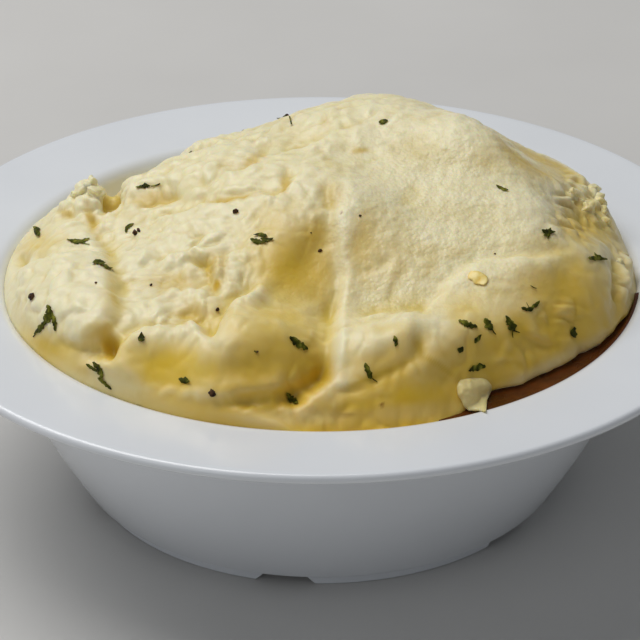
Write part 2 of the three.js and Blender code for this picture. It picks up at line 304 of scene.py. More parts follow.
def wall_radius(z):
    """Outside radius of the wall at a height."""
    u = np.clip((RIM_UNDERSIDE - z) / (RIM_UNDERSIDE - FOOT_HEIGHT), 0, 1)
    return WALL_FOOT_RADIUS + (WALL_TOP_RADIUS - WALL_FOOT_RADIUS) * (1 - u ** WALL_CURVE)


def inside_radius(z):
    """Inside radius of the bowl at a height, with the floor's rounding."""
    start = FLOOR_LEVEL + FLOOR_ROUND
    centre = wall_radius(start) - WALL_THICKNESS - FLOOR_ROUND
    down = np.clip((start - z) / FLOOR_ROUND, 0, 1)
    return np.where(z < start, centre + FLOOR_ROUND * np.sqrt(1 - down ** 2),
                    wall_radius(z) - WALL_THICKNESS)


# ---- mash: where it meets the bowl
EDGE_BASE = 43.0
EDGE_OVERLAP = 0.05  # how far the edge reaches into the wall, so that no air shows
EDGE_WAVES = [(3, 1.0, 0.30), (5, 2.4, 0.25), (11, 0.6, 0.12)]  # waves round, start, height
EDGE_RISES = [(1, 12, -0.9), (-38, 22, 0.5), (135, 16, -7.0)]  # direction, spread, height
# How far the mash stays back from the wall, which lets the gravy show: direction, distance
GRAVY_GAP = [(-70, 0), (-65, 2.2), (-60, 5.6), (-55, 6.1), (-50, 5.1), (-45, 4.6), (-40, 4.2),
             (-35, 3.8), (-30, 2.9), (-25, 2.1), (-20, 1.6), (-15, 1.1), (-10, 0.5), (-5, 0)]
GRAVY_GAP_LUMPS = [(31, 0.22), (53, 0.12), (97, 0.06)]  # waves round, height
GRAVY_FLOOR = 34.0
GRAVY_LEVEL = 42.2
UNDERCUT = 1.6


def contact_radius(z):
    """Inside radius of the bowl at a height, with the shoulder's rounding."""
    centre = BOWL_HEIGHT - RIM_DROP - SHOULDER_RADIUS
    up = np.clip((z - centre) / SHOULDER_RADIUS, 0, 1)
    rounded = MOUTH_RADIUS + SHOULDER_RADIUS * (1 - np.sqrt(1 - up ** 2))
    return np.where(z > centre, rounded, inside_radius(z))


def bump_round(degrees, direction, spread):
    return np.exp(-(((degrees - direction + 180) % 360 - 180) / spread) ** 2)


def edge_level(angle):
    degrees = np.degrees(angle)
    level = np.full(np.shape(angle), EDGE_BASE)
    for waves, start, height in EDGE_WAVES:
        level = level + height * np.sin(waves * angle + start)
    for direction, spread, height in EDGE_RISES:
        level = level + height * bump_round(degrees, direction, spread)
    return level


def gravy_gap(angle):
    degrees = np.degrees(angle)
    directions, gaps = np.array(GRAVY_GAP).T
    gap = sum(np.interp(degrees + shift, directions, gaps) for shift in (-1.2, 0, 1.2)) / 3
    lumps = sum(height * np.sin(waves * angle) for waves, height in GRAVY_GAP_LUMPS)
    return gap + lumps * fade(0, 2.0, gap)


def edge_radius(angle):
    """How far out the heap's surface ends."""
    return contact_radius(edge_level(angle)) + EDGE_OVERLAP - gravy_gap(angle)


# ---- mash: the heap's main form
LOWEST_TOP = 36.5
PEAK = (14.0, 15.0, 73.4)
LEFT_FALL, LEFT_REACH = 14.0, 30.0
RIGHT_FALL, RIGHT_BEND, RIGHT_FLAT = 0.20, 0.012, 22.0
CORNER_FALL, BACK_FALL, FRONT_FALL = 0.0100, 0.0150, 0.0030
FRONT_SLOPE, FRONT_START = 0.22, 6.0  # the dome's fall towards the front
PLAIN_SIDE = np.array([28.0, 4.6, 0.62])  # rise, steepness and root of the heap's side
SIDES = [  # direction, spread, and the side's numbers there
    (163, 42, (26.0, 1.7, 0.80)),
    (-2, 17, (25.0, 3.4, 0.95)),
    (134, 12, (42.0, 3.1, 0.89)),
    (-45, 26, (28.0, 3.6, 0.80)),
]
OWN_SIDE = (0.2, 0.55)  # shares of the way out between which those numbers set in
SWELLS = numbers("""  # place, half sizes, turn, height, squareness
-43 39 10 13 40 -7.5 3, -50 -24 12 20 10 1.5 2.5, -26 -42 24 10 -4 4 2.4, 24 -48 22 9 28 2.5,
56 -20 7 16 8 2.5 2.4, 6 -34 22 11 0 -3.4, 14 -6 22 11 90 -2.9, 30 10 16 8 135 2.9, 26 -42 22 11 45 2.7,
42 -14 16 8 90 1.8, 2 -50 22 11 0 1.9, -10 -50 16 8 45 2.9, -22 -42 16 8 0 -2.2, 2 -14 16 8 45 2.3,
2 10 22 11 135 -2.2, -31 17 20 11 135 4.2, -39 25 5 9 30 -5.5 2.4, -47.5 15 6 7 0 1.5 2.4,
-30 24 9 9 0 -1.4 2.4, -42 17 2.6 9 8 -4.4 2.4, 45 20 13 11 -30 -5, 56 21 5 8 0 1.6, 8 22 22 10 0 1,
-38 2 22 11 45 -3.8, -46 -14 22 11 45 -2.5""")


def to_polar(x, y):
    """Distance from the bowl's axis, and direction."""
    return np.hypot(x, y), np.arctan2(y, x)


def side_height(x, y):
    """Height that the heap's steep side allows, with each direction's own numbers further out."""
    radius, angle = to_polar(x, y)
    degrees = np.degrees(angle)
    out = np.minimum(radius / edge_radius(angle), 1)
    own = fade(*OWN_SIDE, out)
    side = [np.full(np.shape(x), v) for v in PLAIN_SIDE]
    for direction, spread, values in SIDES:
        near = own * bump_round(degrees, direction, spread)
        for i, value in enumerate(values):
            side[i] = side[i] + (value - PLAIN_SIDE[i]) * near
    rise, steepness, root = side
    level = EDGE_BASE + (edge_level(angle) - EDGE_BASE) * own
    return level + rise * (1 - out ** steepness) ** root


def swell(x, y, place_x, place_y, half_a, half_b, turn, height, squareness=2.2):
    c, s = math.cos(math.radians(turn)), math.sin(math.radians(turn))
    u = ((x - place_x) * c + (y - place_y) * s) / half_a
    v = ((y - place_y) * c - (x - place_x) * s) / half_b
    return height * np.exp(-np.hypot(u, v) ** squareness)


def heap_height(x, y):
    left, right = np.maximum(PEAK[0] - x, 0), np.maximum(x - PEAK[0], 0)
    back, front = np.maximum(y - PEAK[1], 0), np.maximum(PEAK[1] - y, 0)
    crown = PEAK[2] - LEFT_FALL * (1 - np.exp(-(left / LEFT_REACH) ** 2))
    crown = crown - RIGHT_FALL * right - RIGHT_BEND * np.maximum(right - RIGHT_FLAT, 0) ** 2
    crown = crown - CORNER_FALL * right * back
    slope = FRONT_SLOPE * fade(-22, 14, x)
    crown = crown - slope * (np.sqrt(front ** 2 + FRONT_START ** 2) - FRONT_START)
    crown = crown - BACK_FALL * back ** 2 - FRONT_FALL * front ** 2
    z = soft_lower(crown, side_height(x, y), 4.0)
    radius, angle = to_polar(x, y)
    edge_fade = fade(1.0, 0.88, radius / edge_radius(angle))
    for row in SWELLS:
        z = z + swell(x, y, *row) * edge_fade
    return np.maximum(z, LOWEST_TOP)


MASH_CELLS = 286  # along each side of the grid that covers the heap's top
SPACING_ANGLES, SPACING_STEPS = 360, 240  # of the table that spaces the grid's rings evenly


def disc_grid(cells):
    """A square grid laid over a disc of radius 1: radius and angle of each corner."""
    line = np.linspace(-1, 1, cells + 1)
    a, b = np.meshgrid(line, line, indexing="ij")
    wide = np.abs(a) > np.abs(b)
    safe_a, safe_b = np.where(a == 0, 1, a), np.where(b == 0, 1, b)
    radius = np.where(wide, a, b)
    angle = np.where(wide, math.pi / 4 * b / safe_a, math.pi / 2 - math.pi / 4 * a / safe_b)
    return to_polar(radius * np.cos(angle), radius * np.sin(angle))


def even_spacing(share, angle):
    """Radius, as a share of the edge's, at which a share of the way up the heap is reached."""
    shares = np.linspace(0, 1, SPACING_STEPS)
    table = []
    for turn in np.linspace(-math.pi, math.pi, SPACING_ANGLES + 1):
        radii = shares * float(edge_radius(np.array(turn)))
        z = heap_height(radii * math.cos(turn), radii * math.sin(turn))
        run = run_length(np.stack([radii, z], -1))
        table.append(np.interp(shares, run / run[-1], shares))
    table = np.array(table)
    row = (angle + math.pi) / (2 * math.pi) * SPACING_ANGLES
    low = np.minimum(row.astype(int), SPACING_ANGLES - 1)
    col = share * (SPACING_STEPS - 1)
    left = np.minimum(col.astype(int), SPACING_STEPS - 2)
    f, g = row - low, col - left
    near = table[low, left] * (1 - g) + table[low, left + 1] * g
    far = table[low + 1, left] * (1 - g) + table[low + 1, left + 1] * g
    return near * (1 - f) + far * f


def grid_normals(p):
    """Outward normals of a square grid of points."""
    du, dv = np.gradient(p, axis=0), np.gradient(p, axis=1)
    return unit(np.cross(du, dv) + 1e-9)


# ---- mash: folds and lumps
# Folds: the surface steps down across a line. Route in pixels with the high side on the left of
# travel; rise, its reach, drop, its reach, width of the step. Heights in mm, lengths in pixels.
FOLDS = numbers("""
# front left lobe over the grainy middle
265 276, 251 292, 235 305, 225 315, 220 327, 211 337, 203 331, 196 324, 184 323, 155 327, 135 331,
120 348, 111 358, 92 360, 82 364, 78 374, 82 386; 2.4 36 2.1 12 2.8 /
# valley: the hollow slopes down to it from the left, the dome stands to its right
326 176, 333 200, 338 229, 340 256, 342 284, 338 306; 0.2 20 1.6 30 3 /
343 288, 338 306, 335 325, 334 345, 333 362, 324 383, 304 398, 280 408; 0.4 20 3 36 2 /
# the hollow's own left shoulder
243 326, 256 306, 274 284, 297 257, 313 235, 328 210; 0.3 20 0.8 40 8 /
# front strip under the left lobe
150 394, 196 402, 245 396, 282 390, 306 380, 322 366, 332 350; 1 30 1.7 14 1.8 /
# lobes under the dome on the right
579 252, 552 255, 524 258, 495 260, 475 264, 462 270, 447 280, 441 293, 427 308, 420 315, 398 317,
377 319, 342 321; 1.4 40 0.8 12 3.2 /
# right lobe over the lower one
330 395, 352 385, 378 373, 398 362, 421 350; 0.2 34 1.1 8 1 /
417 349, 428 358, 440 366, 455 375, 466 381; 0.2 34 1.2 9 1 /
425 306, 421 322, 425 338, 432 352; 0.3 26 0.5 12 2.4 /
524 331, 538 340, 553 347, 566 344; 0.7 12 0.8 6 1.6 /
# rightmost lobe behind the right one
612 250, 618 268, 620 290, 619 312, 612 330; 1.6 16 1.8 8 2.4 /
# left block beside the grainy middle
102 344, 108 326, 112 305, 114 280, 106 255, 94 228, 90 206; 1.2 24 1.4 10 3.2 /
# lumps of the left block
60 211, 76 214, 90 224, 98 238; 0.7 14 1.2 8 2.4 /
104 252, 88 256, 60 257, 40 261, 22 266, 10 273; 1.2 22 1.6 13 2.4 /
28 320, 38 336, 56 342, 80 345, 100 340; 0.5 14 2 28 4 /
54 262, 49 284, 46 302; 0.5 10 0.7 10 3.2 /
74 284, 68 312, 66 336; 0.5 10 0.7 10 3.2 /
74 378, 66 366, 52 360, 40 350; 0.7 12 0.9 8 2 /
# torn pits in the middle of the left half
190 250, 206 256, 211 268, 214 282, 226 290; 0.9 12 1.3 12 1.8 /
155 300, 172 297, 188 301, 206 316; 0.4 12 1.2 14 3.2 /
# upper left ridges
284 186, 255 195, 233 199, 206 202, 176 213, 148 224; 0.7 20 1.7 9 2.4 /
298 170, 288 184, 276 194, 262 198; 0.7 14 1.7 7 2 /
268 146, 260 156, 248 165, 222 170; 0.7 14 1.6 8 2.4 /
182 198, 152 206, 134 204, 128 214; 0.7 16 1.7 13 2.8 /
330 136, 300 146, 280 150, 262 160; 0.5 14 1 9 2.4 /
372 118, 345 128, 318 134; 0.5 14 0.9 9 2.4 /
206 156, 180 170, 160 178; 0.5 14 0.9 9 2.4 /
250 246, 232 250, 218 262, 212 276; 0.7 14 1 9 2.4 /
204 238, 190 246, 170 252, 158 262; 0.7 14 0.9 9 2.4 /
352 262, 372 262, 392 256; 0.2 12 0.5 10 2.4 /
388 300, 392 284, 398 268; 0.2 10 0.5 9 2.4""", "/;,")
# Lumps and hollows: centre in pixels, half sizes in pixels, turn, height in mm, squareness
DENTS = numbers("""
109 347 9 12 20 -3.6 2.6, 40 346 9 6 40 0.7, 53 358 9 6 35 0.9, 67 367 9 6 20 0.9, 75 353 8 5 10 0.6,
316 366 20 20 20 -1.4, 376 336 42 18 -14 1.7, 372 364 40 7 -27 -0.3, 415 325 9 11 0 0.9,
405 332 12 16 0 0.9, 419 345 6 9 0 -0.5, 419 366 16 9 0 0.7, 563 311 11 7 -50 0.7,
335 196 12 12 -20 -1.3, 318 228 24 30 10 -1.2, 298 258 26 26 0 -0.8, 400 190 34 12 36 -0.5 2,
198 262 11 11 0 -1.1, 165 280 34 12 0 -0.6, 217 284 6 5 0 -1 2, 190 313 18 9 10 -0.8,
92 220 8 13 -20 -1.6, 112 194 8 15 8 -4 2.4, 16 262 8 7 0 -1.6, 36 240 18 8 -20 -0.5,
150 200 26 10 -8 -0.4, 36 344 20 14 30 -0.5, 575 226 24 18 10 -0.7, 535 152 34 16 26 -0.8,
246 366 26 14 0 -0.6, 92 192 14 16 -10 2 2.4, 60 203 20 10 -15 1 2.4, 128 198 14 16 20 1.2 2.4,
60 300 40 36 0 0.6 2.4, 612 296 8 28 -6 0.6 2.4, 630 284 9 30 0 0.4 2.4, 570 312 14 10 0 0.4,
130 230 22 30 0 0.5, 170 240 34 22 -10 0.5, 172 308 18 8 -8 0.5, 240 150 44 12 -22 0.6,
300 130 40 14 -16 -0.4""")
FOLD_REACH = 90.0  # pixels past which a fold does nothing


def facing_share(normals, points):
    """0 where the surface faces away from the camera's side, 1 where it faces it."""
    toward = unit(EYE - points)
    return fade(0.02, 0.22, (normals * toward).sum(-1))


def fold_height(pixels, wander, route, rise, rise_reach, drop, drop_reach, width):
    line = smooth_route(route)
    low, high = line.min(0) - FOLD_REACH, line.max(0) + FOLD_REACH
    close = ((pixels > low) & (pixels < high)).all(1)
    distance, side, along = near_route(pixels[close], line)
    ends = fade(0, 0.14, along) * fade(0, 0.14, 1 - along)
    ends = ends * fade(FOLD_REACH, FOLD_REACH / 2, distance)
    over = 0.5 + 0.5 * np.tanh(distance * side / width)
    shape = over * rise * np.exp(-(distance / rise_reach) ** 1.5)
    shape = shape - (1 - over) * drop * np.exp(-(distance / drop_reach) ** 1.5)
    height = np.zeros(len(pixels))
    height[close] = ends * (1 + 0.3 * wander[close]) * shape
    return height


def marks_height(pixels, wander):
    height = sum(fold_height(pixels, wander, route, *sizes) for route, (sizes,) in FOLDS)
    return height + sum(swell(pixels[:, 0], pixels[:, 1], *row) for row in DENTS)


def sculpt(points, normals, shape):
    """Height of the folds and lumps above the main form, in mm."""
    facing = facing_share(normals, points)
    wander = layered_noise(points, 6.0, 2, 11)
    shift = np.stack([3.6 * layered_noise(points, 5.0, 2, seed)
                      + 2.0 * layered_noise(points, 1.8, 1, seed + 5) for seed in (21, 31)], -1)
    pixels = to_pixels(points)
    for _ in range(3):
        height = marks_height(pixels + shift, wander) * facing
        moved = blur_grid(height.reshape(shape), 5).ravel()
        pixels = to_pixels(points + normals * moved[:, None])
    return height, pixels


# centre, half sizes, turn in pixels and strength of the smooth yellow areas: buttery mash, and painted
# shade on sides the light misses
BUTTERY_AND_SHADED = numbers("""  # centre, half sizes, turn in pixels and strength of the smooth butter-yellow areas
170 366 100 34 8 1, 280 410 120 20 0 0.45, 535 152 50 24 30 0.5, 270 340 70 40 10 1,
294 270 40 52 -38 0.9, 390 350 62 40 -6 0.85, 425 395 90 28 -4 1, 490 327 76 40 -14 0.85,
570 300 66 56 0 0.95, 592 226 34 40 -10 0.7, 560 160 60 14 34 0.8, 240 386 60 10 -10 1,
62 352 44 22 30 0.85, 108 346 14 18 0 0.8, 40 244 24 10 -20 0.5, 110 300 10 40 0 0.6""")
PALE = numbers("""  # where the mash stays pale in the midst of yellow
342 250 8 60 2 0.85, 385 318 46 7 -8 0.8, 338 345 6 50 4 0.8, 355 332 18 14 -20 0.6,
560 362 80 8 -28 0.75, 432 300 10 34 -20 0.6, 290 417 54 9 0 0.65, 410 412 60 9 -5 0.35,
338 385 12 14 20 0.4, 612 300 7 50 -6 0.45, 500 302 24 16 -15 0.5, 372 345 22 10 -15 0.4""")
CALM = numbers("""  # the dome, where the mash is grainy but even
302 290 38 36 0 0.6, 450 205 130 100 12 1, 400 290 60 40 0 1""")
TORN = numbers("""  # rough torn places
588 200 30 38 20 1.1, 200 262 60 50 0 0.6, 190 316 60 16 0 0.5, 92 196 34 24 0 1.2,
60 205 30 12 -20 0.9, 560 315 26 16 0 0.6, 626 280 14 50 0 0.6, 560 350 90 16 -28 0.3,
60 348 40 18 30 0.5""")
# golden and tan painted shade in pits, creases and hollows, along the dome's outline and on slopes turned
# from the light
GOLDEN_SHADE = numbers("""  # golden and tan stains
331 194 14 16 -20 0.45, 314 232 20 28 12 0.4, 217 284 6 5 0 1, 52 348 16 6 30 0.5, 86 366 12 8 40 0.4,
534 155 38 16 28 0.7, 152 199 22 9 -8 0.6, 173 280 34 11 0 0.45, 189 312 18 9 0 0.5,
318 370 22 20 20 0.9, 300 250 40 44 -30 0.5, 246 364 34 16 0 0.7, 109 347 10 12 0 1,
232 198 28 4 -8 0.8, 285 183 6 12 10 0.7, 252 158 12 5 -35 0.6, 91 218 6 14 -20 0.8, 65 211 8 4 0 0.7,
360 151 9 3 -10 0.7, 578 226 26 14 20 0.5, 419 344 8 9 0 0.6, 378 374 40 2.6 -25 0.7,
441 366 24 2.6 34 0.7, 215 268 14 16 0 0.5, 395 92 40 4 6 0.5""")
SPOTS = numbers("""  # small brown spots in the mash itself
382 405 2.4 2.2 0 0.9, 341 214 1.8 1.6 0 0.8, 347 415 8 2.4 0 0.45""")
STREAK_TURN = math.radians(41)
STREAK_LENGTH = 2.4
BILLOW_MEAN = 0.35


def area_share(pixels, areas):
    share = np.zeros(len(pixels))
    for *place, strength in areas:
        share = np.maximum(share, swell(pixels[:, 0], pixels[:, 1], *place, strength, 3.0))
    return share


def billows(points, size, layers, seed, softness):
    """Rounded lumps with creases between them."""
    n = layered_noise(points, size, layers, seed)
    return np.sqrt(n ** 2 + softness ** 2) - BILLOW_MEAN


def chunks(points, size, seed):
    """Blocks with creases between them, each block of its own height from 0 to 1."""
    rng = np.random.default_rng(seed)
    table = rng.permutation(256)
    places, tall = rng.uniform(0.1, 0.9, (256, 3)), rng.uniform(0.2, 1.0, 256)
    where = points / size
    cell = np.floor(where).astype(int)
    first, second = np.full(len(points), 9.0), np.full(len(points), 9.0)
    height = np.zeros(len(points))
    for step in itertools.product((-1, 0, 1), repeat=3):
        at = cell + step
        pick = picks(table, at)
        away = np.linalg.norm(where - at - places[pick], axis=1)
        near = away < first
        second = np.where(near, first, np.minimum(second, away))
        first = np.where(near, away, first)
        height = np.where(near, tall[pick], height)
    return height * fade(0, 0.35, second - first)


def mash_surface():
    """The heap's visible surface: points, and shares that its looks follow."""
    share, angle = disc_grid(MASH_CELLS)
    edge = edge_radius(angle)
    radius = even_spacing(share, angle) * edge
    inward = edge - radius
    x, y = radius * np.cos(angle), radius * np.sin(angle)
    z = heap_height(x, y)
    # The main form has a crease behind its peak, which is blurred away
    crease = fade(4, 20, y) * np.exp(-((x - PEAK[0]) / 16) ** 2) * fade(0, 8, inward)
    z = z + (blur_grid(z, 9) - z) * crease
    base = np.stack([x, y, z], -1)
    normals = grid_normals(blur_grid(base, 2))
    flat, flat_normals = base.reshape(-1, 3), normals.reshape(-1, 3)

    height, pixels = sculpt(flat, flat_normals, share.shape)
    height = blur_grid(height.reshape(share.shape), 1).ravel()
    facing = facing_share(flat_normals, flat)
    butter, pale, calm, torn, golden, spot = (
        area_share(pixels, areas) * facing
        for areas in (BUTTERY_AND_SHADED, PALE, CALM, TORN, GOLDEN_SHADE, SPOTS))
    calm = calm + (1 - facing) * fade(-0.5, 0.3, layered_noise(flat, 24.0, 2, 45))
    bent = flat + 2.2 * np.stack([layered_noise(flat, 7.0, 1, seed) for seed in (81, 82, 83)], -1)
    c, s = math.cos(STREAK_TURN), math.sin(STREAK_TURN)
    streaks = bent @ np.array([[c, -s, 0], [s, c, 0], [0, 0, 1]]) / [STREAK_LENGTH, 1, 1]
    rough = (1 - 0.75 * butter) * (1 - 0.88 * calm)
    # Each line: strength in mm, where, and lumps of a size in mm, with layers and seed
    relief = 0.7 * (1 - 0.5 * calm) * layered_noise(flat, 14.0, 2, 41)
    relief += 1.25 * rough * billows(streaks, 7.5, 2, 51, 0.22)
    relief += 0.8 * rough * billows(bent, 4.2, 1, 61, 0.16)
    relief += 0.16 * (1 - 0.8 * butter) * layered_noise(flat, 1.8, 1, 71)
    relief += 0.45 * rough * (1 - calm) * (chunks(bent, 4.6, 93) - 0.5)
    relief += 1.6 * (1 - facing) * billows(bent, 17.0, 2, 47, 0.3)
    relief += torn * (1.0 * billows(bent, 4.2, 2, 91, 0.2) + 0.4 * layered_noise(bent, 2.4, 1, 95)
                      + 1.2 * (chunks(bent, 4.4, 97) - 0.5) + 0.3 * (chunks(bent, 2.3, 99) - 0.5))
    loose = 0.35 * fade(0, 2.0, gravy_gap(angle))
    height = (height + relief).reshape(share.shape)
    height = height * np.maximum(fade(0, 2.5, inward), loose)

    points = base + normals * height[..., None]
    reach, angle = to_polar(points[..., 0], points[..., 1])
    points[..., :2] *= np.minimum(1, edge_radius(angle) / np.maximum(reach, 1e-6))[..., None]
    looks = {"butter": butter, "golden": golden * (1 - pale), "calm": calm, "pale": pale,
             "spot": spot}
    return points, {name: values.reshape(share.shape) for name, values in looks.items()}


PRESSED_IN = 0.1  # how far the heap below its edge, and the gravy, reach into the wall
# Level under the edge, and how far inside the edge where the gravy lies
MASH_ROWS = [(42.4, 0.7), (41.4, UNDERCUT), (38.0, UNDERCUT), (GRAVY_FLOOR + 0.2, UNDERCUT)]
MASH_ROWS += [(level, 0.0) for level in
              (GRAVY_FLOOR, 26.0, FLOOR_LEVEL + FLOOR_ROUND, 10.0, 7.0, FLOOR_LEVEL)]


def mash_body():
    """Closed heap: its surface, then down the inside of the bowl to the floor."""
    points, looks = mash_surface()
    index = np.arange(points[..., 0].size).reshape(points.shape[:2])
    faces = grid_faces(index)[:, [0, 3, 2, 1]].tolist()
    rows = [points.reshape(-1, 3)]
    last = around(index)
    x, y, top = rows[0][last].T
    edge, angle = to_polar(x, y)
    open_share = fade(0, 1.0, gravy_gap(angle))
    count = index.size
    for z, inset in MASH_ROWS:
        level = np.minimum(top - 0.4, z)
        radius = contact_radius(level) + PRESSED_IN
        if inset:
            radius = np.where(open_share > 0, np.minimum(radius, edge - inset * open_share), radius)
        rows.append(polar(radius, angle, level))
        ring = np.arange(count, count + len(last))
        faces += ring_faces(ring, last)
        count += len(ring)
        last = ring
    rows.append([[0, 0, FLOOR_LEVEL]])
    faces += [[count, b, a] for a, b in zip(last, np.roll(last, -1))]
    return np.vstack(rows), faces, looks


def surface_shares(points):
    """How far each grid point stands out of its near and its wider surroundings, in mm."""
    normals = grid_normals(blur_grid(points, 2))
    return [((points - blur_grid(points, reach)) * normals).sum(-1) for reach in (2, 9)]


# ---- materials
BUMP_HEIGHT = 0.0003  # metres


def new_material(name, **sockets):
    """A material, its nodes and its shader's sockets, some of them at a plain value."""
    made = bpy.data.materials.new(name)
    made.use_nodes = True
    inputs = made.node_tree.nodes["Principled BSDF"].inputs
    for socket, value in sockets.items():
        inputs[socket.replace("_", " ")].default_value = value
    return made, made.node_tree, inputs


def add(tree, kind, **values):
    node = tree.nodes.new("ShaderNode" + kind)
    for key, value in values.items():
        if key in node.inputs:
            node.inputs[key].default_value = value
        else:
            setattr(node, key, value)
    return node


def feed(value, socket):
    """Links a node's output to a socket, or sets the socket to a plain value."""
    if hasattr(value, "links"):
        socket.id_data.links.new(value, socket)
    else:
        socket.default_value = (*value, 1) if isinstance(value, tuple) else value


def texture(tree, kind, output, **values):
    node = add(tree, kind, **values)
    feed(add(tree, "TexCoord").outputs["Object"], node.inputs["Vector"])
    return node.outputs[output]


def noise(tree, scale, detail=3.0, roughness=0.55, distortion=0.0):
    return texture(tree, "TexNoise", "Fac", Scale=scale, Detail=detail, Roughness=roughness,
                   Distortion=distortion)


def pebbles(tree, scale):
    """Small rounded grains pressed together, higher towards each grain's middle."""
    away = texture(tree, "TexVoronoi", "Distance", feature="SMOOTH_F1", Scale=scale,
                   Smoothness=0.4)
    return maths("SUBTRACT", 1.0, away)


def ramp(source, *stops):
    """Colours, or shares as plain numbers, that follow a source from stop to stop."""
    node = add(source.id_data, "ValToRGB")
    elements = node.color_ramp.elements
    while len(elements) < len(stops):
        elements.new(0.5)
    for element, (place, colour) in zip(elements, stops):
        element.position = place
        element.color = (*(colour if isinstance(colour, tuple) else (colour,) * 3), 1)
    feed(source, node.inputs["Fac"])
    return node.outputs["Color"]


def mix(share, a, b):
    node = add(share.id_data, "Mix", data_type="RGBA")
    for value, number in ((share, 0), (a, 6), (b, 7)):
        feed(value, node.inputs[number])
    return node.outputs[2]


def maths(operation, a, b, clamp=False):
    tree = (a if hasattr(a, "links") else b).id_data
    node = add(tree, "Math", operation=operation, use_clamp=clamp)
    feed(a, node.inputs[0])
    feed(b, node.inputs[1])
    return node.outputs[0]


def bump(source, distance, strength, under=None):
    node = add(source.id_data, "Bump", Distance=distance)
    feed(strength, node.inputs["Strength"])
    feed(source, node.inputs["Height"])
    if under is not None:
        feed(under, node.inputs["Normal"])
    return node.outputs["Normal"]


def blotchy_material(name, scale, detail, low, high, bumps=0.0, **sockets):
    """Soft blotches between two colours, with bumps of the same shape."""
    made, tree, inputs = new_material(name, **sockets)
    tone = noise(tree, scale, detail)
    feed(ramp(tone, low, high), inputs["Base Color"])
    if bumps:
        feed(bump(tone, BUMP_HEIGHT, bumps), inputs["Normal"])
    return made


def mash_material():
    made, tree, inputs = new_material(
        "mash", Subsurface_Weight=0.45, Subsurface_Radius=(1.0, 0.74, 0.30),
        Subsurface_Scale=0.0018, Specular_IOR_Level=0.35)
    pale, deep, butter, golden, calm, spot, warm_shade = (
        add(tree, "Attribute", attribute_name=name).outputs["Fac"]
        for name in ("proud_lit", "deep", "butter", "golden", "calm", "spot", "warm_shade"))
    cream = ramp(noise(tree, 45), (0.3, (0.86, 0.77, 0.46)), (0.7, (0.89, 0.82, 0.55)))
    tan = ramp(noise(tree, 130, 5, 0.6, 0.8), (0.48, 0.0), (0.72, 0.75))
    uneven = ramp(noise(tree, 110, 3, 0.55, 0.5), (0.35, 0.80), (0.62, 1.0))
    outside_butter_and_shade = maths("SUBTRACT", 1.0, maths("MULTIPLY", butter, 0.75))
    colour = cream
    for share, tint in (
            (tan, (0.72, 0.60, 0.28)),
            # Deep yellow: the smooth buttery mash's own colour, and painted shade on sides the light
            # misses
            (maths("MULTIPLY", butter, uneven), (0.78, 0.535, 0.038)),
            # Pale cream: painted light on crests, with the mash's own paler colour there
            (maths("MULTIPLY", pale, outside_butter_and_shade), (0.90, 0.83, 0.56)),
            # Darker yellow: painted shade in creases and hollows
            (deep, (0.68, 0.52, 0.115)),
            # Warm yellow: painted shade on sides turned from the light and low round the front
            (warm_shade, (0.76, 0.45, 0.020)),
            # Golden: painted shade in pits, creases and on slopes turned from the light
            (golden, (0.63, 0.41, 0.030)),
            (spot, (0.30, 0.12, 0.015))):
        colour = mix(share, colour, tint)
    feed(colour, inputs["Base Color"])
    fine, grains = noise(tree, 900, 2, 0.6), noise(tree, 1700, 2, 0.6)
    feed(ramp(grains, (0.35, 0.32), (0.65, 0.46)), inputs["Roughness"])
    plain = maths("SUBTRACT", 0.09, maths("MULTIPLY", butter, 0.08))
    grainy, pebbly = (maths("ADD", plain, maths("MULTIPLY", calm, most), True)
                      for most in (0.40, 0.22))
    low = bump(pebbles(tree, 1150), 0.0004, pebbly)
    low = bump(fine, BUMP_HEIGHT, grainy, low)
    feed(bump(grains, 0.0002, grainy, low), inputs["Normal"])
    return made


def bowl_material():
    made, tree, inputs = new_material("bowl_white", Coat_Weight=0.25, Coat_Roughness=0.12)
    white = ramp(noise(tree, 30, 2), (0.15, (0.75, 0.775, 0.81)), (0.85, (0.81, 0.835, 0.87)))
    feed(white, inputs["Base Color"])
    feed(ramp(noise(tree, 25, 1, 0.4), (0.1, 0.17), (0.9, 0.26)), inputs["Roughness"])
    feed(bump(noise(tree, 40, 1), BUMP_HEIGHT, 0.1), inputs["Normal"])
    return made


def parsley_material():
    made, tree, inputs = new_material("parsley", Specular_IOR_Level=0.1)
    green = ramp(noise(tree, 700), (0.35, (0.020, 0.023, 0.002)),
                 (0.52, (0.072, 0.078, 0.004)), (0.70, (0.26, 0.25, 0.030)))
    feed(green, inputs["Base Color"])
    veins = noise(tree, 1500, 2)
    feed(ramp(veins, (0.3, 0.45), (0.7, 0.75)), inputs["Roughness"])
    feed(bump(veins, BUMP_HEIGHT, 0.8), inputs["Normal"])
    return made


# ---- pieces
def between(start, end, shares):
    (x, z), (far_x, far_z) = start, end
    return [(x + (far_x - x) * t, z + (far_z - z) * t) for t in shares]


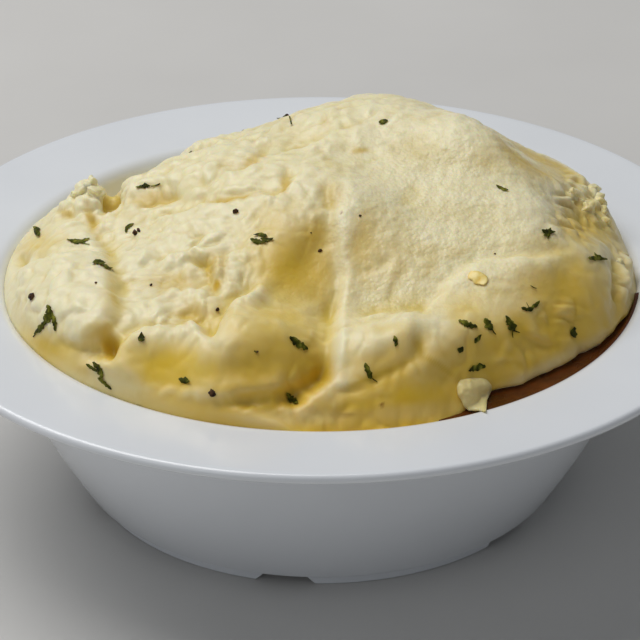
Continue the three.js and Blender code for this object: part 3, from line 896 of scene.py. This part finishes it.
def bowl_profile():
    """Half section, from the axis under the floor, out round the lip and back to the axis."""
    inner, foot = FOOT_RADIUS - FOOT_WIDTH, FOOT_HEIGHT
    outline = [(0, foot), (inner - 1.2, foot), (inner - 0.5, foot - 0.15),
               (inner - 0.1, foot - 0.7)]
    outline += arc(inner + FOOT_ROUND, FOOT_ROUND, FOOT_ROUND, 180, 270, 4)
    outline += arc(FOOT_RADIUS - FOOT_ROUND, FOOT_ROUND, FOOT_ROUND, 270, 360, 4)
    outline += [(FOOT_RADIUS, foot - 0.7), (FOOT_RADIUS + 0.2, foot - 0.2)]
    wall_top = RIM_UNDERSIDE - UNDER_RIM_ROUND
    outline += [(float(wall_radius(z)), z) for z in np.linspace(foot + 0.2, wall_top, 22)]
    outline += arc(outline[-1][0] + UNDER_RIM_ROUND, wall_top, UNDER_RIM_ROUND, 165, 90, 6)
    half = RIM_THICKNESS / 2
    lip = arc(RIM_RADIUS - half, BOWL_HEIGHT - half, half, -90, 90, 12)
    level = BOWL_HEIGHT - RIM_DROP - SHOULDER_RADIUS
    shoulder = arc(MOUTH_RADIUS + SHOULDER_RADIUS, level, SHOULDER_RADIUS, 90, 180, 10)
    outline += between(outline[-1], lip[0], (0.25, 0.5, 0.75, 0.93)) + lip
    outline += between(lip[-1], shoulder[0], (0.07, 0.25, 0.5, 0.75, 0.93)) + shoulder
    outline += [(float(inside_radius(z)), z) for z in np.linspace(level, FLOOR_LEVEL, 24)[1:]]
    return outline + [(0, FLOOR_LEVEL)]


def turned_body(profile, sectors):
    """Closed body turned about Z from a profile that starts and ends on the axis."""
    angles = np.arange(sectors) * 2 * math.pi / sectors
    verts = [[0, 0, profile[0][1]]]
    verts += [[r * math.cos(a), r * math.sin(a), z] for r, z in profile[1:-1] for a in angles]
    verts.append([0, 0, profile[-1][1]])
    rings = 1 + np.arange(len(verts) - 2).reshape(-1, sectors)
    faces = [[0, b, a] for a, b in zip(rings[0], np.roll(rings[0], -1))]
    for lower, upper in zip(rings, rings[1:]):
        faces += ring_faces(lower, upper)
    faces += [[len(verts) - 1, a, b] for a, b in zip(rings[-1], np.roll(rings[-1], -1))]
    return np.array(verts), faces


def cut_notches(piece):
    """Cuts the drainage notches across the foot ring."""
    flare = (NOTCH_MOUTH_WIDTH - NOTCH_ROOF_WIDTH) / 2 / NOTCH_DEPTH
    mouth, roof = NOTCH_MOUTH_WIDTH / 2 + flare * NOTCH_BELOW, NOTCH_ROOF_WIDTH / 2
    outline = [(-mouth, -NOTCH_BELOW), (mouth, -NOTCH_BELOW), (roof, NOTCH_DEPTH),
               (-roof, NOTCH_DEPTH)]
    ends = FOOT_RADIUS - FOOT_WIDTH - NOTCH_PAST, FOOT_RADIUS + NOTCH_PAST
    verts, faces = [], []
    for i in range(NOTCH_COUNT):
        turn = Matrix.Rotation(math.radians(NOTCH_TURN + i * 360 / NOTCH_COUNT), 4, "Z")
        a, b = np.arange(8).reshape(2, 4) + len(verts)
        verts += [turn @ Vector((x * MM, y * MM, z * MM)) for x in ends for y, z in outline]
        faces += [a[::-1].tolist(), b.tolist()] + ring_faces(a, b)
    mesh = bpy.data.meshes.new("notches")
    mesh.from_pydata(verts, [], faces)
    tool = add_object("notches", mesh)
    cut = piece.modifiers.new("notches", "BOOLEAN")
    cut.operation, cut.solver, cut.object = "DIFFERENCE", "EXACT", tool
    graph = bpy.context.evaluated_depsgraph_get()
    whole, piece.data = piece.data, bpy.data.meshes.new_from_object(piece.evaluated_get(graph))
    piece.modifiers.clear()
    bpy.data.meshes.remove(whole)
    bpy.data.objects.remove(tool)


def make_bowl():
    verts, faces = turned_body(bowl_profile(), BOWL_SECTORS)
    piece = make_mesh("white_bowl", verts, faces, "bowl_white", bowl_material(), "bowl")
    cut_notches(piece)
    piece.data.polygons.foreach_set("use_smooth", [True] * len(piece.data.polygons))
    piece.data.set_sharp_from_angle(angle=math.radians(40))
    return piece


def set_look(piece, name, values):
    piece.data.attributes.new(name, "FLOAT", "POINT").data.foreach_set("value", values)


SHADED_WAY = np.array([0.42, -0.91, 0.0])  # the way the sides painted with shade face, away from the light


def make_mash():
    verts, faces, looks = mash_body()
    piece = make_mesh("mash_heap", verts, faces, "mash", mash_material(), "mashed_potato")
    shape = looks["butter"].shape
    grid = verts[: shape[0] * shape[1]].reshape(*shape, 3)
    fine, wide = surface_shares(grid)
    # Painted light: crests that stand out of their surroundings get pale cream, partly the mash's own
    # paler colour and partly the light such crests catch
    looks["proud_lit"] = np.clip(fade(0.02, 0.30, fine) * 0.5
                             + fade(0.1, 1.2, wide) * 0.6, 0, 1)
    # Painted shade: creases and hollows, which lie lower than their surroundings, get a darker, deeper
    # yellow
    looks["deep"] = np.clip(fade(0.02, 0.35, -fine) * 0.35
                            + fade(0.2, 2.2, -wide) * 0.65, 0, 1)
    # Painted shade: sides steep towards the front, which face away from the light, and low places round
    # the front get a buttery yellow and a warm yellow; low down by the rim it also stands for butter
    # pooled there
    front = grid_normals(blur_grid(grid, 4)) @ SHADED_WAY
    steep = 0.9 * fade(0.30, 0.80, front)
    outward = unit(grid[..., :2]) @ SHADED_WAY[:2]
    low = 0.95 * fade(52.0, 45.5, grid[..., 2]) * fade(-0.3, 0.4, outward)
    low = low * (0.35 + 0.65 * fade(40, 15, grid[..., 0]))
    left = fade(-15, -48, grid[..., 0])
    low = low * (1 - 0.6 * left)
    looks["warm_shade"] = 0.45 * np.maximum(steep, low) * (1 - 0.9 * left)
    looks["butter"] = np.maximum(np.maximum(looks["butter"], steep), low)
    for name in ("butter", "deep"):
        looks[name] = looks[name] * (1 - looks["pale"])
    below = np.zeros(len(piece.data.vertices) - fine.size)
    for name, values in looks.items():
        set_look(piece, name, np.concatenate([values.ravel(), below]))
    return piece


# ---- things lying on the mash
# One flake a row, made of strokes; a stroke is places in pixels, each with a width in pixels
PARSLEY = numbers("""
34 228 3, 37 229 5, 41 230 3; 36 230 5, 38 233 6, 40 237 3 /
67 240 3, 78 242 5, 90 239 3; 80 243 3, 90 245 3 /
92 265 3, 98 262 6, 105 265 5; 102 266 5, 107 268 4, 112 270 2 /
136 188 2, 145 186 5, 151 187 3; 152 187 5, 161 184 6 /
126 233 3, 128 227 4, 134 224 3 /
251 240 5, 258 242 5, 267 243 3; 254 236 3, 262 235 4, 268 238 3; 261 240 5, 269 240 5, 274 239 2 /
290 118 5, 292 126 5 /
48 305 4, 50 313 9, 46 323 9; 46 321 7, 41 328 6, 35 334 4; 52 312 4, 55 322 5, 56 331 4; 38 330 4,
34 337 4 /
142 333 3, 142 339 7, 145 341 3 /
289 337 5, 297 343 8, 307 350 6; 289 338 4, 295 345 4 /
88 364 3, 94 369 4, 99 372 4; 95 362 5, 100 370 6, 104 378 5; 100 377 4, 106 384 4, 113 389 2 /
180 379 5, 186 381 7, 191 382 2 /
286 394 4, 291 399 7, 297 404 6 /
137 405 3, 142 407 4 /
379 123 4, 384 122 5, 388 121 3 /
496 186 3, 502 189 3, 508 191 3 /
541 231 4, 547 232 6, 555 233 3; 543 237 3, 548 233 5, 550 229 3; 546 230 3, 548 236 5, 547 240 2 /
587 259 4, 596 258 6, 606 260 4; 593 253 2, 597 257 5, 602 259 4 /
530 286 3, 536 289 3 /
521 308 3, 528 310 5, 533 308 5; 531 308 5, 536 305 4, 539 301 2; 526 303 2, 529 308 3 /
458 321 4, 468 325 7, 477 328 5 /
484 319 6, 488 325 8, 491 331 7; 491 328 5, 495 335 4 /
505 316 5, 510 323 8, 513 331 11; 512 330 6, 519 333 4; 512 331 5, 512 338 3 /
480 335 4, 477 340 6, 473 343 4 /
462 347 5, 460 350 7, 458 353 5 /
394 336 4, 396 342 5, 395 347 3 /
467 371 3, 475 368 7, 484 366 8 /
365 363 4, 368 371 7, 371 379 6; 371 378 4, 377 382 3 /
573 327 4, 573 332 8, 574 338 5 /
254 351 4, 257 353 4""", "/;,")
PEPPER = numbers("""  # place and size in pixels
139 231 5, 136 233 6, 236 212 6, 32 297 7, 217 310 5, 213 393 9, 320 251 4, 360 216 3, 311 233 2,
96 283 3, 151 285 3, 495 254 2, 257 352 4""")
CRUMBS = numbers("""  # place and size in pixels, how deep it sits
592 187 19 0.68, 599 201 20 0.68, 587 206 16 0.7, 575 194 12 0.68, 606 222 15 0.7, 603 211 15 0.68,
620 262 14 0.7, 91 185 17 0.58, 84 191 16 0.6, 98 191 16 0.6, 77 195 13 0.62""")
# Left and right borders, in pixels, of the torn bit that hangs over the gravy onto the rim
TONGUE = numbers("""
464 377, 457 385, 456 394, 460 401, 463 407, 467 412;
487 377, 490 387, 488 396, 485 402, 484 408, 484 412""", ";,")
# The same two borders of the golden flake
SEED_FLAKE = numbers("""
469 274, 468 279, 473 281, 474 284, 484 286;
471 272, 479 272, 487 277, 488 281, 486 285""", ";,")
STROKE_WIDTH = 0.92  # how full a stroke of parsley is, against the width given for it
SCRAP_BUTTER_AND_SHADE = 0.55  # how much of the mash's buttery yellow and golden colour round them torn scraps take; both carry painted shade
SCRAP_GRAIN = 0.6  # how grainy they are, where the dome is 1
GRAIN_FLATNESS = 0.8
HIDDEN_DEPTH = 6.0  # how far behind what the camera sees a place is, to count as hidden
FAR_SIDE_FLAKES = 26
FAR_SIDE_PEPPER = 14
FLAKE_CURL = (0.05, 0.45)  # how far the ends of a flake stand up, in mm


def make_caster(pieces):
    """A function that finds the surface under a place: a pixel, or x and y from above."""
    points, faces = joined([([v.co / MM for v in piece.data.vertices],
                             [face.vertices for face in piece.data.polygons])
                            for piece in pieces])
    tree = BVHTree.FromPolygons(points.tolist(), faces)

    def cast(place, seen=True):
        if seen:
            start, direction = Vector(EYE), Vector(pixel_ray(place))
        else:
            start, direction = Vector((*place, 2 * BOWL_HEIGHT)), Vector((0, 0, -1))
        point, normal, _, _ = tree.ray_cast(start, direction)
        if point is None:
            middle = start + direction * (Vector((0, 0, BOWL_HEIGHT)) - start).dot(direction)
            point, normal, _, _ = tree.find_nearest(middle)
        return np.array(point), np.array(normal)

    return cast


def stroke_sides(stroke, rng, ragged):
    """Left and right borders of a stroke given as places and widths."""
    stroke = np.asarray(stroke, float)
    line = smooth_route(stroke[:, :2], 1.5)
    run, share = run_length(stroke[:, :2]), run_length(line)
    share = share / share[-1]
    width = np.interp(share, run / run[-1], stroke[:, 2])
    width = STROKE_WIDTH * width * (0.3 + 0.7 * np.sqrt(np.sin(math.pi * np.clip(share, 0, 1))))
    along = unit(np.gradient(line, axis=0))
    across = np.stack([-along[:, 1], along[:, 0]], -1)
    half = width * (1 + ragged * rng.uniform(-1, 1, (2, len(line)))) / 2
    return line - across * half[0, :, None], line + across * half[1, :, None]


def patch(cast, left, right, columns, lift, thickness, curl=0.0, seen=True, rounding=4.0,
          root=0.0, ease=0):
    """Closed thin body laid on the surface between two borders, which may curl up at its ends,
    be rooted at its start and be eased over what it lies on."""
    count = max(len(left), len(right), 4)
    t, u = np.linspace(0, 1, count), np.linspace(0, 1, columns)
    left, right = (np.stack([np.interp(t, np.linspace(0, 1, len(side)), line)
                             for line in np.transpose(side)], -1) for side in (left, right))
    places = left[:, None] * (1 - u)[None, :, None] + right[:, None] * u[None, :, None]
    hits = np.array([[cast(place, seen) for place in row] for row in places])
    points, normal = hits[:, :, 0], unit(hits[:, :, 1].mean((0, 1)))
    for _ in range(ease):
        points[1:-1] = (points[:-2] + 2 * points[1:-1] + points[2:]) / 4
        points[:, 1:-1] = (points[:, :-2] + 2 * points[:, 1:-1] + points[:, 2:]) / 4
    along, across = (1 - np.abs(2 * share - 1) ** rounding for share in (t, u))
    half = thickness / 2 * np.sqrt(np.clip(across[None] * along[:, None], 0.04, 1))
    raised = lift + curl * ((2 * t - 1) ** 2)[:, None] * (0.6 + 0.4 * u[None])
    raised = raised - root * (np.clip(1 - 2 * t, 0, 1) ** 2)[:, None]
    verts = [points + normal * height[..., None] for height in (raised + half, raised - half)]
    faces = slab_faces(count, columns)
    turned = np.cross(points[0, -1] - points[0, 0], points[-1, 0] - points[0, 0]) @ normal < 0
    return np.reshape(verts, (-1, 3)), [face[::-1] for face in faces] if turned else faces


def grain(cast, place, size, seed, sunk=0.25, seen=True, ragged=0.0, detail=2):
    """Closed irregular bit of a size in mm, sitting on the surface."""
    ball = bmesh.new()
    bmesh.ops.create_icosphere(ball, subdivisions=detail, radius=1)
    shape = np.array([v.co for v in ball.verts])
    faces = [[v.index for v in face.verts] for face in ball.faces]
    ball.free()
    rng = np.random.default_rng(seed)
    lumps = 0.45 * gradient_noise(shape * 1.1 + rng.uniform(0, 50, 3), seed)
    if ragged:
        lumps += ragged * gradient_noise(shape * 2.6 + rng.uniform(0, 50, 3), seed)
        lumps += ragged / 2 * gradient_noise(shape * 5.0 + rng.uniform(0, 50, 3), seed)
    shape = shape * (1 + lumps)[:, None]
    shape = shape * rng.uniform(0.6, 1.25, 3) * np.array([1, 1, GRAIN_FLATNESS]) * size / 2
    point, normal = cast(place, seen)
    turn = Vector(normal).to_track_quat("Z", "Y").to_matrix()
    turn = np.array(turn @ Matrix.Rotation(rng.uniform(0, 6.28), 3, "Z"))
    return shape @ turn.T + point + normal * size * GRAIN_FLATNESS * (0.5 - sunk), faces


def joined(parts):
    verts, faces, count = [], [], 0
    for part_verts, part_faces in parts:
        verts.append(part_verts)
        faces += [[count + i for i in face] for face in part_faces]
        count += len(part_verts)
    return np.vstack(verts), faces


def pixel_size(point):
    """Width of one pixel, in mm, at a place on the surface."""
    return float((point - EYE) @ VIEW) / FOCAL_PIXELS


def far_side_places(cast, count, rng):
    """Places scattered over the side that the camera can't see."""
    places = []
    while len(places) < count:
        x, y = rng.uniform(-56, 56), rng.uniform(-10, 58)
        point, _ = cast((x, y), False)
        behind = np.linalg.norm(point - cast(to_pixels(point))[0])
        if behind > HIDDEN_DEPTH and math.hypot(x, y) < MOUTH_RADIUS - 4:
            places.append((x, y))
    return places


def far_side_stroke(x, y, rng):
    """Borders of a flake of a chance size and bend."""
    turn, length, width = rng.uniform(0, math.pi), rng.uniform(1.2, 4.2), rng.uniform(0.6, 1.5)
    bend = rng.uniform(-1.3, 1.3)
    stroke = np.array([(x + t * length * math.cos(turn + bend * t),
                        y + t * length * math.sin(turn + bend * t), width * (1 - 1.2 * t * t))
                       for t in (-0.5, 0, 0.5)])
    return [side / 5 for side in stroke_sides(stroke * 5, rng, 0.5)]


def make_toppings(mash):
    cast = make_caster([mash])
    rng = np.random.default_rng(7)
    leaves = []
    for flake in PARSLEY:
        curl = rng.uniform(*FLAKE_CURL)
        for stroke in flake:
            sides = stroke_sides(stroke, rng, 0.4)
            leaves.append(patch(cast, *sides, 5, 0.14, 0.14, curl, rounding=3.0))
    for x, y in far_side_places(cast, FAR_SIDE_FLAKES, rng):
        sides = far_side_stroke(x, y, rng)
        leaves.append(patch(cast, *sides, 5, 0.16, 0.16, rng.uniform(*FLAKE_CURL), False))
    make_mesh("parsley_flakes", *joined(leaves), "parsley", parsley_material())

    bits = [grain(cast, (x, y), size * pixel_size(cast((x, y))[0]), 100 + i)
            for i, (x, y, size) in enumerate(PEPPER)]
    bits += [grain(cast, place, rng.uniform(0.4, 1.3), 200 + i, seen=False)
             for i, place in enumerate(far_side_places(cast, FAR_SIDE_PEPPER, rng))]
    pepper = blotchy_material("pepper", 1500, 3, (0.35, (0.014, 0.006, 0.003)),
                              (0.7, (0.12, 0.055, 0.022)), 0.8, Specular_IOR_Level=0.15,
                              Roughness=0.55)
    make_mesh("pepper_grains", *joined(bits), "pepper", pepper, smooth=False)

    gold = blotchy_material("seed", 500, 3, (0.35, (0.88, 0.58, 0.08)),
                            (0.6, (0.97, 0.78, 0.28)), 0.5, Roughness=0.35)
    sides = (smooth_route(side, 2) for side in SEED_FLAKE)
    make_mesh("seed_flake", *patch(cast, *sides, 9, 0.2, 0.28, 0.15), "seed", gold)


def make_scraps(pieces, mash):
    """Torn bits sunk into the mash, and the one that hangs over the gravy onto the rim."""
    cast = make_caster([mash])
    crumbs = [grain(cast, (x, y), size * pixel_size(cast((x, y))[0]), 400 + i, sunk,
                    ragged=0.09, detail=4)
              for i, (x, y, size, sunk) in enumerate(CRUMBS)]
    rng = np.random.default_rng(17)
    left, right = (smooth_route(side, 1.5) for side in TONGUE)
    left, right = (side + rng.uniform(-0.9, 0.9, side.shape) for side in (left, right))
    verts, faces = patch(make_caster(pieces), left, right, 24, 0.6, 2.2, rounding=2.6,
                         root=1.3, ease=4)
    lumps = 0.5 * layered_noise(verts, 3.2, 2, 501) + 0.35 * layered_noise(verts, 1.2, 2, 503)
    verts = verts + unit(EYE - verts) * lumps[:, None]
    scraps = make_mesh("mash_scraps", *joined(crumbs + [(verts, faces)]), "mash",
                       mash.data.materials[0])
    near = KDTree(len(mash.data.vertices))
    for i, vertex in enumerate(mash.data.vertices):
        near.insert(vertex.co, i)
    near.balance()
    nearest = [near.find(vertex.co)[1] for vertex in scraps.data.vertices]
    for name in ("butter", "golden"):
        beside = mash.data.attributes[name].data
        set_look(scraps, name, [SCRAP_BUTTER_AND_SHADE * beside[i].value for i in nearest])
    set_look(scraps, "calm", [SCRAP_GRAIN] * len(nearest))


GRAVY_SECTORS = 150
GRAVY_STRIPS = 8
GRAVY_RANGE = (-69.0, -7.0)
GRAVY_UNDER = 0.6  # how far the gravy runs in under the mash, past the undercut
GRAVY_CREEP, GRAVY_SHADOW_CLIMB = 0.35, 0.9  # how far it crept up the bowl, and how much more at the right, where the extra climb is partly a gravy film and partly a dark sheet that stands in for the mash's shadow on the shoulder
GRAVY_CREEP_REACH = 0.5


def make_gravy():
    angle = np.radians(np.linspace(*GRAVY_RANGE, GRAVY_SECTORS))
    share = np.linspace(0, 1, GRAVY_STRIPS)[:, None]
    inner = edge_radius(angle) - UNDERCUT * fade(0, 1.0, gravy_gap(angle)) - GRAVY_UNDER
    rows = []
    for level in (GRAVY_FLOOR, GRAVY_LEVEL):
        outer = contact_radius(np.full_like(angle, level)) + PRESSED_IN
        radius = inner + (outer - inner) * share
        z = np.full_like(radius, level)
        if level == GRAVY_LEVEL:
            creep_and_shadow_climb = GRAVY_CREEP + GRAVY_SHADOW_CLIMB * fade(-45, -20, np.degrees(angle))
            z += creep_and_shadow_climb * np.exp(-(outer - radius) / GRAVY_CREEP_REACH)
            radius = np.minimum(radius, contact_radius(z) + PRESSED_IN)
            radius[-1] = contact_radius(z[-1]) + PRESSED_IN
        rows.append(polar(radius, angle, z))
    brown = blotchy_material("gravy", 200, 4, (0.3, (0.055, 0.012, 0.001)),
                             (0.7, (0.120, 0.027, 0.002)), Roughness=0.25,
                             Specular_IOR_Level=0.35)
    return make_mesh("gravy_pool", np.reshape(rows, (-1, 3)),
                     slab_faces(GRAVY_STRIPS, GRAVY_SECTORS), "gravy", brown, "brown_gravy")


# ---- floor and light
FLOOR_HALF = 3.0  # metres
LIGHTS = [  # name, place, aim and size in metres, power, colour
    ("window", (-0.50, 0.34, 1.22), (0, 0, 0.05), 1.0, 14.3, (1.0, 0.99, 0.975)),
    ("fill", (-0.6, -1.0, 0.55), (0, 0, 0.04), 0.8, 1.3, (0.97, 0.98, 1.0)),
]
SKY, SKY_STRENGTH = (0.86, 0.90, 0.95, 1), 0.20


def make_floor():
    mesh = bpy.data.meshes.new("floor")
    corners = [(x * FLOOR_HALF, y * FLOOR_HALF, 0) for x, y in ((-1, -1), (1, -1), (1, 1), (-1, 1))]
    mesh.from_pydata(corners, [], [(0, 1, 2, 3)])
    pale = blotchy_material("floor", 12, 3, (0.3, (0.60, 0.59, 0.57)), (0.7, (0.64, 0.63, 0.61)),
                            Roughness=0.75)
    mesh.materials.append(pale)
    add_object("floor", mesh)


def make_lights():
    for name, place, aim, size, power, colour in LIGHTS:
        data = bpy.data.lights.new(name, "AREA")
        data.shape = "RECTANGLE"
        data.size = data.size_y = size
        data.energy, data.color = power, colour
        light = add_object(name, data)
        light.location = place
        light.rotation_mode = "QUATERNION"
        light.rotation_quaternion = (Vector(aim) - Vector(place)).to_track_quat("-Z", "Y")
    world = bpy.data.worlds.new("studio")
    world.use_nodes = True
    sky = world.node_tree.nodes["Background"].inputs
    sky["Color"].default_value, sky["Strength"].default_value = SKY, SKY_STRENGTH
    bpy.context.scene.world = world
    bpy.context.scene.view_settings.view_transform = "Standard"


make_camera()
make_floor()
make_lights()
bowl = make_bowl()
mash = make_mash()
gravy = make_gravy()
make_toppings(mash)
make_scraps([mash, gravy, bowl], mash)
